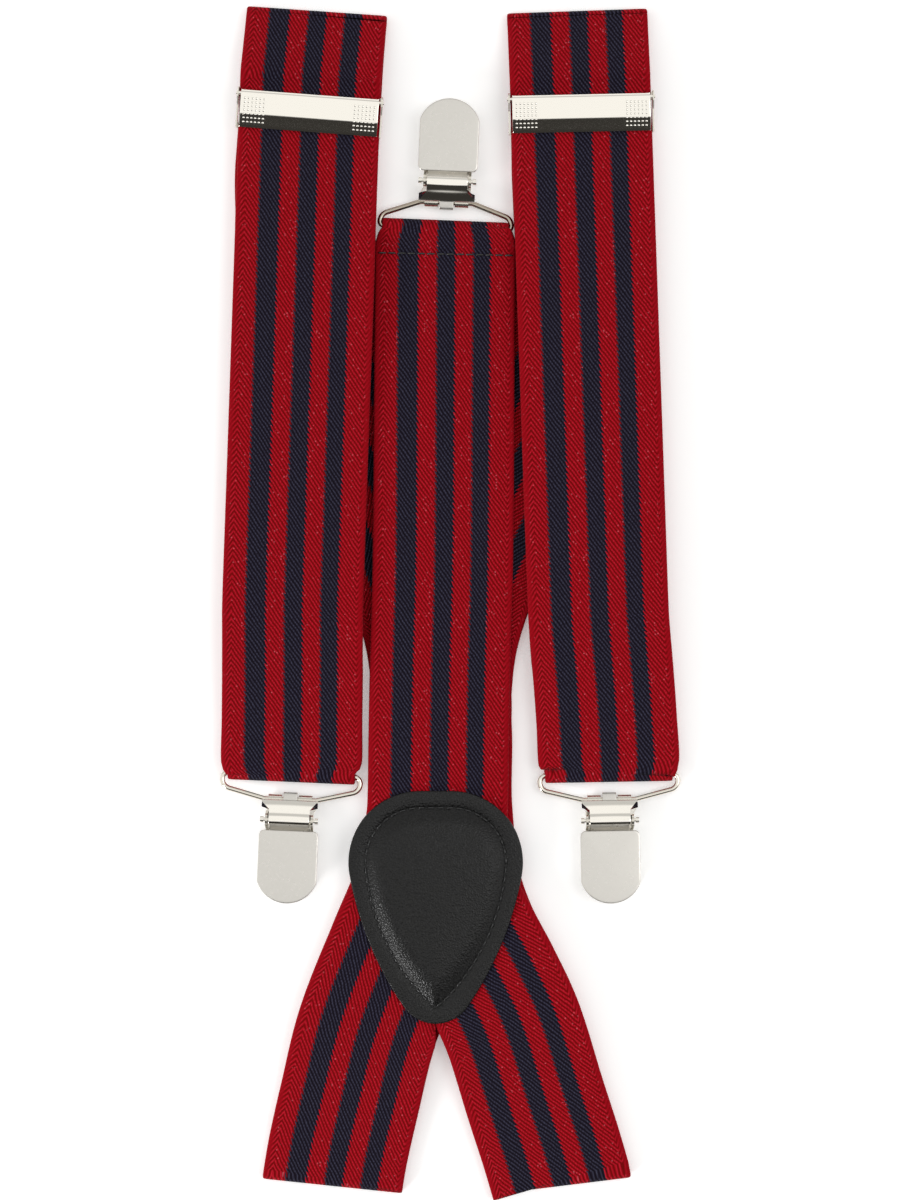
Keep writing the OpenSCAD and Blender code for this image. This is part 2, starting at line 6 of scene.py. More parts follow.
import bmesh
import bpy
import numpy as np
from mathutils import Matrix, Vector

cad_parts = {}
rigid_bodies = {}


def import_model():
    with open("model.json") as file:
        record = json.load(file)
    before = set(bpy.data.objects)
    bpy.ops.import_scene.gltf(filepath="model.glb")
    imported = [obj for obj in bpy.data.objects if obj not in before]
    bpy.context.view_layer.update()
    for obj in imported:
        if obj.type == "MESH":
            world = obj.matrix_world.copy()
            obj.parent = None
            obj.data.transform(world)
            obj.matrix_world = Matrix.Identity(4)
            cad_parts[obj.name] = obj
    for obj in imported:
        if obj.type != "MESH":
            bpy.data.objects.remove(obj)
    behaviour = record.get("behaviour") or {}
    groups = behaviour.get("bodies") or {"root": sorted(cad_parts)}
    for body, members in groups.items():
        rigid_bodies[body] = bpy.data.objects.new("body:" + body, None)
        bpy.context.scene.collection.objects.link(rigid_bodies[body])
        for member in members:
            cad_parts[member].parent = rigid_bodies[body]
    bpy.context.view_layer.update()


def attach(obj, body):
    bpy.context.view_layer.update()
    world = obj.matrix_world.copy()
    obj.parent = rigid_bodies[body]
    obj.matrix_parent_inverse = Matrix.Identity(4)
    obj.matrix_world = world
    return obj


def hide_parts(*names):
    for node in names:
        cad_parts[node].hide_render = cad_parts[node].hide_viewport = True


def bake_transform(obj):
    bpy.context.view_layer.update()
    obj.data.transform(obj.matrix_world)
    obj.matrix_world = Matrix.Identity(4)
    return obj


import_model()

# ---------------------------------------------------------------------------------------------------------
# The table: a sheet of white card, lit from all round by a white tent that is open on the near side, so
# that polished metal leaning that way turns dark. A long lens looks straight down from above.
MM = 0.001
VIEW_LENGTH = 318.6 * MM
LENS, SENSOR = 110.0, 36.0
FACE_HEIGHT = 5.5 * MM


def colour(code):
    """A hex sRGB colour as linear RGBA: each channel is undone from the display's curve."""
    parts = [int(code[i:i + 2], 16) / 255 for i in (1, 3, 5)]
    return [c / 12.92 if c <= 0.04045 else ((c + 0.055) / 1.055) ** 2.4 for c in parts] + [1.0]


def add(tree, kind, inputs=None, **settings):
    """Adds one shader node; an input that is a node or socket is linked, and any other is its value."""
    made = tree.nodes.new("ShaderNode" + kind)
    for name, value in settings.items():
        setattr(made, name, value)
    for name, value in (inputs or {}).items():
        if isinstance(value, bpy.types.Node):
            value = value.outputs[0]
        if isinstance(value, bpy.types.NodeSocket):
            tree.links.new(value, made.inputs[name])
        else:
            made.inputs[name].default_value = value
    return made


def finish_for(name, inputs):
    """A new material: its node tree, and a Principled shader with the given inputs."""
    material = bpy.data.materials.new(name)
    material.use_nodes = True
    tree = material.node_tree
    tree.nodes.clear()
    shader = add(tree, "BsdfPrincipled", inputs)
    add(tree, "OutputMaterial", {"Surface": shader})
    return material, tree, shader


scene = bpy.context.scene
scene.view_settings.view_transform = "Standard"

view_camera = bpy.data.objects.new("camera", bpy.data.cameras.new("camera"))
scene.collection.objects.link(view_camera)
view_camera.data.lens, view_camera.data.sensor_width = LENS, SENSOR
view_camera.location = (0.1 * MM, 0.1 * MM, VIEW_LENGTH * LENS / SENSOR + FACE_HEIGHT)
view_camera.data.clip_start, view_camera.data.clip_end = 0.05, 20
scene.camera = view_camera

world = bpy.data.worlds.new("tent")
scene.world = world
world.use_nodes = True
tent = world.node_tree
tent.nodes.clear()
direction = add(tent, "SeparateXYZ", {0: add(tent, "TexCoord").outputs["Generated"]})
near_side = add(tent, "MapRange", {"Value": direction.outputs["Y"], "From Min": -0.36, "From Max": -0.5},
                interpolation_type="SMOOTHSTEP")
low_side = add(tent, "MapRange", {"Value": direction.outputs["Z"], "From Min": 0.12, "From Max": 0.3},
               interpolation_type="SMOOTHSTEP")
opening = add(tent, "Math", {0: near_side, 1: low_side}, operation="MULTIPLY")
tent_light = add(tent, "MixRGB", {"Fac": opening, "Color1": [1, 0.995, 0.98, 1],
                                  "Color2": [0.035, 0.033, 0.03, 1]})
far_seam = add(tent, "MapRange", {"Value": direction.outputs["Y"], "From Min": 0.3, "From Max": 0.6,
                                  "To Min": 1.0, "To Max": 0.6}, interpolation_type="SMOOTHSTEP")
far_low = add(tent, "MapRange", {"Value": direction.outputs["Y"], "From Min": 0.78, "From Max": 0.92},
              interpolation_type="SMOOTHSTEP")
far_side = add(tent, "MixRGB", {"Fac": far_low, "Color1": far_seam, "Color2": [1, 1, 1, 1]})
tent_shade = add(tent, "MixRGB", {"Fac": 1.0, "Color1": tent_light, "Color2": far_side}, blend_type="MULTIPLY")
add(tent, "OutputWorld", {"Surface": add(tent, "Background", {"Color": tent_shade, "Strength": 1.05})})


def softbox(name, place, size, watts, aim=(0, -80 * MM, 0)):
    """A square light at a place in metres, turned towards the table."""
    lamp = bpy.data.lights.new(name, "AREA")
    lamp.shape, lamp.size, lamp.energy = "SQUARE", size, watts
    made = bpy.data.objects.new(name, lamp)
    scene.collection.objects.link(made)
    made.location = place
    made.rotation_euler = (Vector(aim) - Vector(place)).to_track_quat("-Z", "Y").to_euler()


softbox("low_softbox", (-0.8, -0.8, 0.36), 0.3, 7.0)
softbox("side_softbox", (0.62, -0.02, 0.95), 0.55, 1.6)

table = bpy.data.meshes.new("table")
half = 1.6
table.from_pydata([(-half, -half, 0), (half, -half, 0), (half, half, 0), (-half, half, 0)], [], [(0, 1, 2, 3)])
table_top = bpy.data.objects.new("table", table)
scene.collection.objects.link(table_top)
table_top.location.z = -0.05 * MM
card, _, _ = finish_for("white_card", {
    "Base Color": colour("#f8f8f8"), "Roughness": 0.9,
    "Emission Color": [1, 1, 1, 1], "Emission Strength": 0.26})
table.materials.append(card)

# ---------------------------------------------------------------------------------------------------------
# The webbing: 38 mm elastic, woven in a steep twill of red and navy yarn, with a plain rolled selvedge on
# each side where the twill turns back. One length makes each front strap: out of the leather junction, down
# and round the lower fold, up beneath, round the upper fold, down the face and round the clip's wire.
WEB_W, WEB_T, END_W, BACK_END_W = 37.4, 1.3, 34.0, 33.8
LOW, MID, TOP = 0.65, 2.0, 5.4
WIRE_Z, LOOP_R, FOLD_R = 2.1, 1.45, 0.95
JUNCTION_Z = 4.25
FRONT_X, FRONT_SLOPE = (-41.7, 39.4), math.tan(math.radians(1.98))
WIRE_AT = {"left": (-42.1, -46.3), "right": (42.4, -46.3), "back": (-1.1, 99.2)}
CLIP_TURN = {"left": -2.5, "right": 1.0, "back": -2.3}
ADJUSTER_Y = 129.5
ADJUSTER_TURN = {"left": -4.3, "right": 1.2}
STEP = 1.1                        # distance between stations along the webbing


def front_x(side, y):
    """Middle line of a front strap: a straight line that leans outwards as y falls."""
    return FRONT_X[side] + (1 if side == 0 else -1) * FRONT_SLOPE * y


def smooth_run(keys):
    """Stations on a Catmull-Rom curve through keys (x, y, z, width): each row is place, width and slope."""
    keys = np.array(keys, float)
    padded = np.vstack([keys[:1], keys, keys[-1:]])
    rows = []
    for a, b, c, d in zip(padded, padded[1:], padded[2:], padded[3:]):
        count = max(2, int(np.linalg.norm((c - b)[:3]) / STEP) + 1)
        u = np.linspace(0, 1, count, endpoint=False)[:, None]
        place = 0.5 * (2 * b + (c - a) * u + (2 * a - 5 * b + 4 * c - d) * u**2
                       + (3 * b - a - 3 * c + d) * u**3)
        slope = 0.5 * ((c - a) + 2 * (2 * a - 5 * b + 4 * c - d) * u + 3 * (3 * b - a - 3 * c + d) * u**2)
        rows.append(np.hstack([place, slope[:, :3]]))
    last = 0.5 * (keys[-1] - keys[-2])
    rows.append(np.hstack([keys[-1], last[:3]])[None])
    rows = np.vstack(rows)
    rise = np.arctan2(rows[:, 6], np.hypot(rows[:, 4], rows[:, 5]))
    lean = -np.arctan(rows[:, 4] / rows[:, 5])
    pitch = np.where(rows[:, 5] > 0, rise, math.pi - rise)
    return np.column_stack([rows[:, :3], lean, pitch, rows[:, 3]])


def half_turn(at, z, radius, lean, start, end, width, steps=14):
    """Stations round a half turn: a circle in the upright plane through the webbing's own direction."""
    heading = np.radians(start + (end - start) * np.arange(1, steps) / steps)
    lean, way = math.radians(lean), 1 if end > start else -1
    out = radius * np.sin(heading) * way
    full = np.ones_like(heading)
    return np.column_stack([at[0] - math.sin(lean) * out, at[1] + math.cos(lean) * out,
                            z - radius * np.cos(heading) * way, lean * full, heading, width * full])


def woven_section():
    """Webbing's cross-section as (across, up), both -1 to 1: flat faces and round rolled selvedges."""
    roll = 0.62 / (WEB_W / 2)
    face = np.linspace(-1 + roll * 1.6, 1 - roll * 1.6, 15)
    turn = np.radians(np.arange(75, -90, -25))
    edge = np.column_stack([1 - roll + roll * np.cos(turn), 0.97 * np.sin(turn)])
    under = np.column_stack([face[::-1], -np.ones(15)])
    top = np.column_stack([face, np.ones(15)])
    return np.vstack([top, edge, under, -edge])


def solid(name, points, faces):
    """A mesh object from whole arrays, with its place in its mesh and smooth shading."""
    mesh = bpy.data.meshes.new(name)
    mesh.from_pydata((np.asarray(points) * MM).tolist(), [], [list(map(int, f)) for f in faces])
    mesh.polygons.foreach_set("use_smooth", [True] * len(mesh.polygons))
    made = bpy.data.objects.new(name, mesh)
    scene.collection.objects.link(made)
    return made


def ring_faces(rows, ring, closed=False):
    """Quads between neighbouring rings of points, as one array."""
    i = np.arange(rows if closed else rows - 1)[:, None]
    j = np.arange(ring)[None]
    a, b = i * ring + j, i * ring + (j + 1) % ring
    c, d = (i + 1) % rows * ring + j, (i + 1) % rows * ring + (j + 1) % ring
    return np.stack([a, b, d, c], axis=-1).reshape(-1, 4)


def webbing_piece(name, stations, way=1, cut_at=None, cut_rows=0):
    """Webbing carried along its stations. Its map holds the place across and along it, in millimetres, and
    way is -1 where the stations run down the face, so that the twill leans the same way on each strap.
    Rows before cut_rows are cut off at the upright plane x = cut_at, on its own side of it."""
    section = woven_section()
    x, y, z, lean, pitch, width = (stations[:, i:i + 1] for i in range(6))
    across = section[:, 0] * width / 2
    up = section[:, 1] * WEB_T / 2
    points = np.stack([x + across * np.cos(lean) + up * np.sin(lean) * np.sin(pitch),
                       y + across * np.sin(lean) - up * np.cos(lean) * np.sin(pitch),
                       z + up * np.cos(pitch)], axis=-1)
    place = np.broadcast_to(section[:, 0] * WEB_W / 2, across.shape).copy()
    if cut_at is not None:
        past = points[:cut_rows, :, 0] - cut_at
        past = np.where(past * np.sign(stations[cut_rows - 1, 0] - cut_at) < 0, past, 0)
        shift = past / np.cos(lean[:cut_rows])
        points[:cut_rows, :, 0] -= past
        points[:cut_rows, :, 1] -= shift * np.sin(lean[:cut_rows])
        place[:cut_rows] -= shift
    rows, ring = across.shape
    length = np.concatenate([[0], np.cumsum(np.linalg.norm(np.diff(stations[:, :3], axis=0), axis=1))])
    faces = ring_faces(rows, ring).tolist()
    ends = [list(range(ring))[::-1], list(range((rows - 1) * ring, rows * ring))]
    made = solid(name, points.reshape(-1, 3), faces + ends)
    uv = np.stack([place, np.broadcast_to(way * length[:, None], place.shape)], axis=-1).reshape(-1, 2)
    loops = np.empty(len(made.data.loops), int)
    made.data.loops.foreach_get("vertex_index", loops)
    weave_map = made.data.uv_layers.new(name="weave")
    weave_map.data.foreach_set("uv", uv[loops].astype(np.float32).ravel())
    work = bmesh.new()
    work.from_mesh(made.data)
    bmesh.ops.remove_doubles(work, verts=work.verts, dist=0.002 * MM)
    bmesh.ops.recalc_face_normals(work, faces=work.faces)
    work.to_mesh(made.data)
    work.free()
    made["length"] = float(length[-1])
    return made


def wide(keys, width=WEB_W):
    return [(*k, width) for k in keys]


CROSS_Y = [-25, -10, 5, 20, 35, 50, 65, 80, 92]


def crossing(side, y):
    """Hidden crossing: an S-shaped blend from beneath the back strap to beneath a front strap."""
    r = (y - CROSS_Y[0]) / (CROSS_Y[-1] - CROSS_Y[0])
    return -2.2 + (front_x(side, CROSS_Y[-1]) + 2.2) * r * r * (3 - 2 * r)


SIDES = {
    "left": dict(
        side=0, fold_lean=-6, top_lean=-4,
        leg=[(-5.6, -74.8, 4.25), (-14.1, -93.9, 4.25), (-22, -114, 4.25), (-26.6, -132.6, 3.2),
             (-29.6, -145.9, 2.6), (-31.1, -154.5, 2.55)],
        under=[(-31.1, -154.5, LOW), (-29.6, -145.9, LOW), (-26.6, -132.6, LOW), (-22, -114, LOW),
               (-14.1, -93.9, LOW), (-6.6, -75, LOW), (-3.2, -55, LOW), (-2.4, -38, LOW)],
        cross_z=[LOW] * 9,
        rise=[(-38.4, 106, LOW), (-37.4, 125, LOW), (-36.4, 143, LOW), (-35.4, 155.5, LOW)],
        top=[(-35.4, 155.5, 2.55), (-35.9, 150, 3.4), (-36.45, 144, 4.75)],
        lower=[(-41.75, -8, 5.3), (-41.8, -20, 4.7), (-41.95, -32, 3.8)],
        tail=[(-41.95, -32, 1), (-41.8, -20, 1.5), (-41.75, -8, 2.05), (front_x(0, 20), 20, 2.05),
              (front_x(0, 60), 60, 2.05), (front_x(0, 95), 95, 2.05)]),
    "right": dict(
        side=1, fold_lean=7, top_lean=2,
        leg=[(-2.6, -75.4, 4.25), (4.4, -88.6, 4.25), (11, -101, 4.25), (17, -114, 4.25), (22.8, -132.6, 3.3),
             (26.8, -145, 2.7), (29.6, -154.5, 2.55)],
        under=[(29.6, -154.5, LOW), (26.8, -145, 0.75), (22.8, -132.6, 1.3), (17, -114, MID), (11, -101, MID),
               (4.6, -88.6, MID), (0.2, -75, MID), (-2, -55, MID), (-2, -38, MID)],
        cross_z=[MID] * 5 + [1.5, 0.75, LOW, LOW],
        rise=[(35.6, 106, LOW), (35.1, 125, LOW), (34.6, 143, LOW), (34, 155.5, LOW)],
        top=[(34, 155.5, 2.55), (34.2, 150, 3.4), (34.4, 144, 4.75)],
        lower=[(39.85, -8, 5.3), (40.9, -20, 4.7), (41.8, -32, 3.8)],
        tail=[(41.8, -32, 1.2), (40.9, -20, 2.4), (39.85, -8, 3.4), (front_x(1, 20), 20, 3.4),
              (front_x(1, 45), 45, 3.4), (front_x(1, 62), 62, 2.4), (front_x(1, 75), 75, 2.05),
              (front_x(1, 95), 95, 2.05)]),
}
JUNCTION_X = -3.7
BAR_Y, BAR_Z, BAR_LOOP_R, HEM = -3.7, 3.1, 0.97, 12

webbing, weave, webbing_shader = finish_for("woven_elastic_webbing", {
    "Roughness": 0.85, "Specular IOR Level": 0.08, "Sheen Weight": 0.03, "Sheen Roughness": 0.5})
place = add(weave, "SeparateXYZ", {0: add(weave, "UVMap", uv_map="weave")})
across, along = place.outputs["X"], place.outputs["Y"]

# The twill's ribs run down to the right, 1.5 mm apart along the webbing, and turn back near both selvedges.
TWILL_EDGE_LEFT, TWILL_EDGE_RIGHT, RIB_PITCH, RIB_SLOPE = -16.2, 17.0, 1.5, 1.4
past_right = add(weave, "Math", {0: add(weave, "Math", {0: across, 1: TWILL_EDGE_RIGHT}, operation="SUBTRACT"),
                                 1: 0.0}, operation="MAXIMUM")
past_left = add(weave, "Math", {0: add(weave, "Math", {0: across, 1: TWILL_EDGE_LEFT}, operation="SUBTRACT"),
                                1: 0.0}, operation="MINIMUM")
past_both = add(weave, "Math", {0: past_right, 1: past_left}, operation="ADD")
folded = add(weave, "Math", {0: past_both, 1: -2.0, 2: across}, operation="MULTIPLY_ADD")
wander = add(weave, "TexNoise", {"Vector": add(weave, "UVMap", uv_map="weave"), "Scale": 0.35, "Detail": 1.0})
drift = add(weave, "Math", {0: wander, 1: 0.9, 2: along}, operation="MULTIPLY_ADD")
slant = add(weave, "Math", {0: folded, 1: RIB_SLOPE, 2: drift}, operation="MULTIPLY_ADD")
rib_turns = add(weave, "Math", {0: slant, 1: 2 * math.pi / RIB_PITCH}, operation="MULTIPLY")
rib_wave = add(weave, "Math", {0: rib_turns}, operation="SINE")
rib = add(weave, "Math", {0: rib_wave, 1: 0.5, 2: 0.5}, operation="MULTIPLY_ADD")

# Each rib is a row of yarn floats, 0.8 mm apart, so it looks like a string of beads.
BEAD_SKEW, FLOAT_PITCH = -0.55, 0.8
bead_skewed = add(weave, "Math", {0: along, 1: BEAD_SKEW, 2: across}, operation="MULTIPLY_ADD")
bead_turns = add(weave, "Math", {0: bead_skewed, 1: 2 * math.pi / FLOAT_PITCH}, operation="MULTIPLY")
bead = add(weave, "Math", {0: add(weave, "Math", {0: bead_turns}, operation="SINE"), 1: 0.5, 2: 0.5},
           operation="MULTIPLY_ADD")
fibre = add(weave, "TexNoise", {"Vector": add(weave, "UVMap", uv_map="weave"), "Scale": 1.7, "Detail": 2.0})
bead_relief = add(weave, "Math", {0: bead, 1: 0.35, 2: 0.65}, operation="MULTIPLY_ADD")
relief = add(weave, "Math", {0: bead_relief, 1: rib}, operation="MULTIPLY")
# Painted shade: the yarn colour is darkened where the relief is low, in the valleys between ribs and floats, on
# top of a random fibre tone.
fibre_tone_and_valley_shade = add(weave, "Math", {0: add(weave, "Math", {0: fibre, 1: 1.5, 2: 0.25}, operation="MULTIPLY_ADD"),
                            1: relief}, operation="MULTIPLY", use_clamp=True)

# Seven stripes; each border steps with the ribs.
STRIPES = ["red", "navy", "red", "navy", "red", "navy", "red"]
BORDERS = [0, 0.164, 0.310, 0.439, 0.571, 0.696, 0.821]
stepped = add(weave, "Math", {0: rib, 1: 0.75, 2: across}, operation="MULTIPLY_ADD")
share = add(weave, "MapRange", {"Value": stepped, "From Min": -WEB_W / 2 + 0.37, "From Max": WEB_W / 2 + 0.37})
stripes = add(weave, "ValToRGB", {"Fac": share})
stripes.color_ramp.interpolation = "CONSTANT"
for i, (name, start) in enumerate(zip(STRIPES, BORDERS)):
    stop = stripes.color_ramp.elements[i] if i < 2 else stripes.color_ramp.elements.new(start)
    stop.position = start
    stop.color = (1, 1, 1, 1) if name == "navy" else (0, 0, 0, 1)

# Each yarn ramp runs from painted shade in the valleys up to painted light on the rib tops.
red = add(weave, "ValToRGB", {"Fac": fibre_tone_and_valley_shade})
navy = add(weave, "ValToRGB", {"Fac": fibre_tone_and_valley_shade})
for ramp, codes in ((red, ("#680000", "#97000f", "#b8182b")), (navy, ("#0d0814", "#1d1825", "#3a3a4c"))):
    ramp.color_ramp.elements.new(0.45)
    for stop, position, code in zip(ramp.color_ramp.elements, (0.0, 0.45, 1.0), codes):
        stop.position, stop.color = position, colour(code)
yarn = add(weave, "MixRGB", {"Fac": stripes, "Color1": red, "Color2": navy})

# Painted highlights: small pale spots are screened over the red yarn as glints on odd floats that stand proud.
fleck_cells = add(weave, "TexVoronoi", {"Vector": add(weave, "UVMap", uv_map="weave"), "Scale": 1.5})
fleck_pick = add(weave, "SeparateXYZ", {0: fleck_cells.outputs["Color"]})
fleck_near = add(weave, "MapRange", {
    "Value": fleck_cells.outputs["Distance"], "From Min": 0.42, "From Max": 0.15})
fleck_rare = add(weave, "Math", {0: fleck_pick.outputs["X"], 1: 0.9}, operation="GREATER_THAN")
glint_mask = add(weave, "Math", {0: fleck_near, 1: fleck_rare}, operation="MULTIPLY")
glint_strength = add(weave, "Math", {0: glint_mask, 1: 0.4}, operation="MULTIPLY")
yarn_with_glints = add(weave, "MixRGB", {"Fac": glint_strength, "Color1": yarn, "Color2": colour("#e8707c")},
             blend_type="SCREEN")
yarn_red_glints = add(weave, "MixRGB", {"Fac": stripes, "Color1": yarn_with_glints, "Color2": yarn})

# The rolled selvedge is a plain, smoother red.
edge_far = add(weave, "Math", {0: across}, operation="ABSOLUTE")
edge_roll = add(weave, "MapRange", {"Value": edge_far, "From Min": 17.1, "From Max": 17.7},
                interpolation_type="SMOOTHSTEP")
edge_part = add(weave, "Math", {0: edge_roll, 1: 0.75}, operation="MULTIPLY")
edged = add(weave, "MixRGB", {"Fac": edge_part, "Color1": yarn_red_glints, "Color2": colour("#90000f")})
weave.links.new(edged.outputs[0], webbing_shader.inputs["Base Color"])
edge_flat = add(weave, "Math", {0: edge_part, 1: -1.0, 2: 1.0}, operation="MULTIPLY_ADD")
height = add(weave, "Math", {0: relief, 1: edge_flat}, operation="MULTIPLY")
ribs = add(weave, "Bump", {"Height": height, "Strength": 0.75, "Distance": 0.22 * MM})
weave.links.new(ribs.outputs[0], webbing_shader.inputs["Normal"])


def dress(piece, body, slot, *nodes):
    """A piece rides on its body and stands for its CAD nodes, which are hidden. The slot is not used."""
    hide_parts(*nodes)
    if body:
        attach(piece, body)


strap_pieces = {}
for hand, s in SIDES.items():
    side, (wx, wy), turned = s["side"], WIRE_AT[hand], CLIP_TURN[hand]
    leg = smooth_run(wide(s["leg"]))
    foot, head = s["leg"][-1], s["rise"][-1]
    cross = [(crossing(side, y), y, z) for y, z in zip(CROSS_Y, s["cross_z"])]
    back = np.vstack([
        leg,
        half_turn(foot, (foot[2] + LOW) / 2, FOLD_R, s["fold_lean"], 180, 360, WEB_W),
        smooth_run(wide(s["under"] + cross + s["rise"])),
        half_turn(head, (2.55 + LOW) / 2, FOLD_R, s["top_lean"], 0, 180, WEB_W)])
    mitre_x = JUNCTION_X + (-0.05 if side == 0 else 0.05)
    strap = webbing_piece(f"{hand}_back_webbing", back, -1, mitre_x, len(leg))

    line = [(front_x(side, y), y, TOP) for y in (139.5, 137, 125, 100, 75, 50, 25, 0)]
    end_z = WIRE_Z + LOOP_R
    face = np.vstack([
        smooth_run(wide(s["top"] + line + s["lower"])
                   + [(wx, wy + 3.0, end_z, WEB_W), (wx, wy, end_z, END_W)]),
        half_turn((wx, wy), WIRE_Z, LOOP_R, turned, 180, 360, END_W)])
    front = webbing_piece(f"{hand}_front_webbing", face, -1)

    tilt = math.radians(ADJUSTER_TURN[hand])
    down = np.array([math.sin(tilt), -math.cos(tilt)])
    bar = np.array([front_x(side, ADJUSTER_Y), ADJUSTER_Y]) - down * BAR_Y
    end = bar + down * 0.01
    upper = [(*(end + down * d), BAR_Z - BAR_LOOP_R) for d in (14, 7, 0)]
    hem = [(*(end + down * d), BAR_Z + BAR_LOOP_R) for d in (0, 5, HEM)]
    rear = np.vstack([
        smooth_run([(wx, wy, LOW, END_W), (wx, wy + 3.0, LOW, WEB_W)] + wide(s["tail"] + upper)),
        half_turn(bar, BAR_Z, BAR_LOOP_R, ADJUSTER_TURN[hand], 0, 180, WEB_W),
        smooth_run(wide(hem))])
    tail = webbing_piece(f"{hand}_tail_webbing", rear)
    for piece, node, held in ((strap, "back", "folded"), (front, "front", "laid"), (tail, "tail", "folded")):
        piece.data.materials.append(webbing)
        dress(piece, None if node == "tail" else "root", "webbing", f"{hand}_strap_{node}")
        strap_pieces[f"{hand}_{node}"] = piece
    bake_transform(tail)

bx, by = WIRE_AT["back"]
BACK_KEYS = [(-3.6, -71, 4.25), (-3.4, -60, 4.25), (-3.1, -51, 4.25), (-3, -43, 3.6), (-2.9, -35, 3.4),
             (-2.5, -15, 3.4), (-1.9, 5, 3.4), (-1.6, 27, 3.4), (-1.5, 45, 3.4), (-1.4, 60, 2.9),
             (-1.3, 74, 2.2), (-1.2, 84, 2.05), (-1.15, 92, 2.05)]
back_route = np.vstack([
    smooth_run(wide(BACK_KEYS) + [(bx, by - 4.2, 2.35, WEB_W), (bx, by - 1.3, 3.45, 35.8),
                                  (bx, by, WIRE_Z + LOOP_R, BACK_END_W)]),
    half_turn((bx, by), WIRE_Z, LOOP_R, CLIP_TURN["back"], 0, -180, BACK_END_W),
    smooth_run([(bx, by, LOW, BACK_END_W), (bx, by - 3.4, LOW, WEB_W), (bx, by - 7, LOW, WEB_W)])])
back_strap = webbing_piece("back_webbing", back_route)
back_strap.data.materials.append(webbing)
dress(back_strap, "root", "webbing", "back_strap")

# The back strap's end is hemmed with one row of black lockstitch, seen as short dashes of waxed thread.
thread, thread_tree, thread_shader = finish_for("waxed_polyester_thread", {
    "Base Color": colour("#141415"), "Roughness": 0.28, "Specular IOR Level": 0.6})
thread_twist = add(thread_tree, "TexWave", {
    "Vector": add(thread_tree, "TexCoord").outputs["Object"], "Scale": 900.0, "Distortion": 1.5})
thread_ribs = add(thread_tree, "Bump", {"Height": thread_twist, "Strength": 0.4, "Distance": 0.06 * MM})
thread_tree.links.new(thread_ribs.outputs[0], thread_shader.inputs["Normal"])


def thread_dashes(name, starts, ends, heights, thick):
    """One dash of thread between each start and end: a round bar that swells in the middle and dips into
    the work at both ends, as thick * sqrt(1 - t**4) round its line, with t from -1 to 1 along it."""
    t = np.linspace(-1, 1, 9)
    girth = np.sqrt(np.clip(1 - t**4, 0.02, 1)) * thick
    turn = np.linspace(0, 2 * math.pi, 8, endpoint=False)
    middle, half_way = (starts + ends) / 2, (ends - starts) / 2
    ahead = half_way / np.linalg.norm(half_way, axis=1, keepdims=True)
    across = np.column_stack([-ahead[:, 1], ahead[:, 0]])
    sink = heights[:, None] - 0.22 * np.abs(t) ** 3
    rings = np.empty((len(starts), len(t), len(turn), 3))
    flat = middle[:, None, None] + half_way[:, None, None] * t[:, None, None]
    flat = flat + across[:, None, None] * (girth[:, None] * np.cos(turn))[..., None]
    rings[..., :2] = flat
    rings[..., 2] = sink[..., None] + girth[:, None] * np.sin(turn) * 0.75
    one = ring_faces(len(t), len(turn)).tolist()
    one += [list(range(8))[::-1], list(range(8 * (len(t) - 1), 8 * len(t)))]
    faces = [[i + dash * len(t) * 8 for i in face] for dash in range(len(starts)) for face in one]
    made = solid(name, rings.reshape(-1, 3), faces)
    made.data.materials.append(thread)
    return made


HEM_STITCHES, HEM_Y = 14, 92.2
spot = (np.arange(HEM_STITCHES) - (HEM_STITCHES - 1) / 2) * (WEB_W - 1) / HEM_STITCHES
hem_lean = math.radians(CLIP_TURN["back"] * 0.5)
hem_line = np.column_stack([bx + spot * math.cos(hem_lean), HEM_Y + spot * math.sin(hem_lean)])
dash = np.array([math.cos(hem_lean), math.sin(hem_lean)]) * 1.2
hem_stitching = thread_dashes("back_strap_stitches", hem_line - dash, hem_line + dash,
                              np.full(HEM_STITCHES, 2.05 + WEB_T / 2 + 0.16), 0.24)
dress(hem_stitching, "root", "thread", "back_strap_stitching")

# ---------------------------------------------------------------------------------------------------------
# The junction: two teardrops of black leather with the three strap ends between them, sewn together round a
# foam pad that swells the upper one. The pad pulls the leather down into a groove along the sewn line.
JUNCTION = np.array([JUNCTION_X, -69.6])
LOBE_X, LOBE_R, TIP_R, TIP_Y, SIDE_R = 4.2, 19.0, 10.25, -32.6, 90.0
SEW_R, SEW_TIP_R, SEW_TIP_Y, SEW_SIDE_R = 14.5, 1.4, -36.9, 58.0
RIM_Z, LEATHER_T, PUFF, GROOVE = 4.95, 0.8, 2.0, 0.42


def teardrop(lobe_r, tip_y, tip_r, side_r, count):
    """Closed outline of two lobes, a tip and bowed sides: four kinds of arc that touch each other, set out
    evenly by length. It starts at the tip's lowest point and runs anticlockwise."""
    lobe, tip = np.array([LOBE_X, 0.0]), np.array([0.0, tip_y])
    apart = np.linalg.norm(tip - lobe)
    u = (tip - lobe) / apart
    p, q = side_r - lobe_r, side_r - tip_r
    t = (p * p - q * q + apart * apart) / (2 * apart)
    centre = lobe + u * t + np.array([u[1], -u[0]]) * math.sqrt(p * p - t * t)
    low, high = (math.atan2(*(v - centre)[::-1]) for v in (tip, lobe))
    arcs = [(tip, tip_r, -math.pi / 2, low), (centre, side_r, low, high), (lobe, lobe_r, high, math.pi / 2)]
    right = np.vstack([c + r * np.column_stack([np.cos(a), np.sin(a)])
                       for c, r, start, end in arcs for a in [np.linspace(start, end, 200)]])
    line = np.vstack([right, right[::-1] * [-1, 1]])
    run = np.concatenate([[0], np.cumsum(np.linalg.norm(np.diff(line, axis=0), axis=1))])
    at = np.linspace(0, run[-1], count, endpoint=False)
    return np.column_stack([np.interp(at, run, line[:, 0]), np.interp(at, run, line[:, 1])])


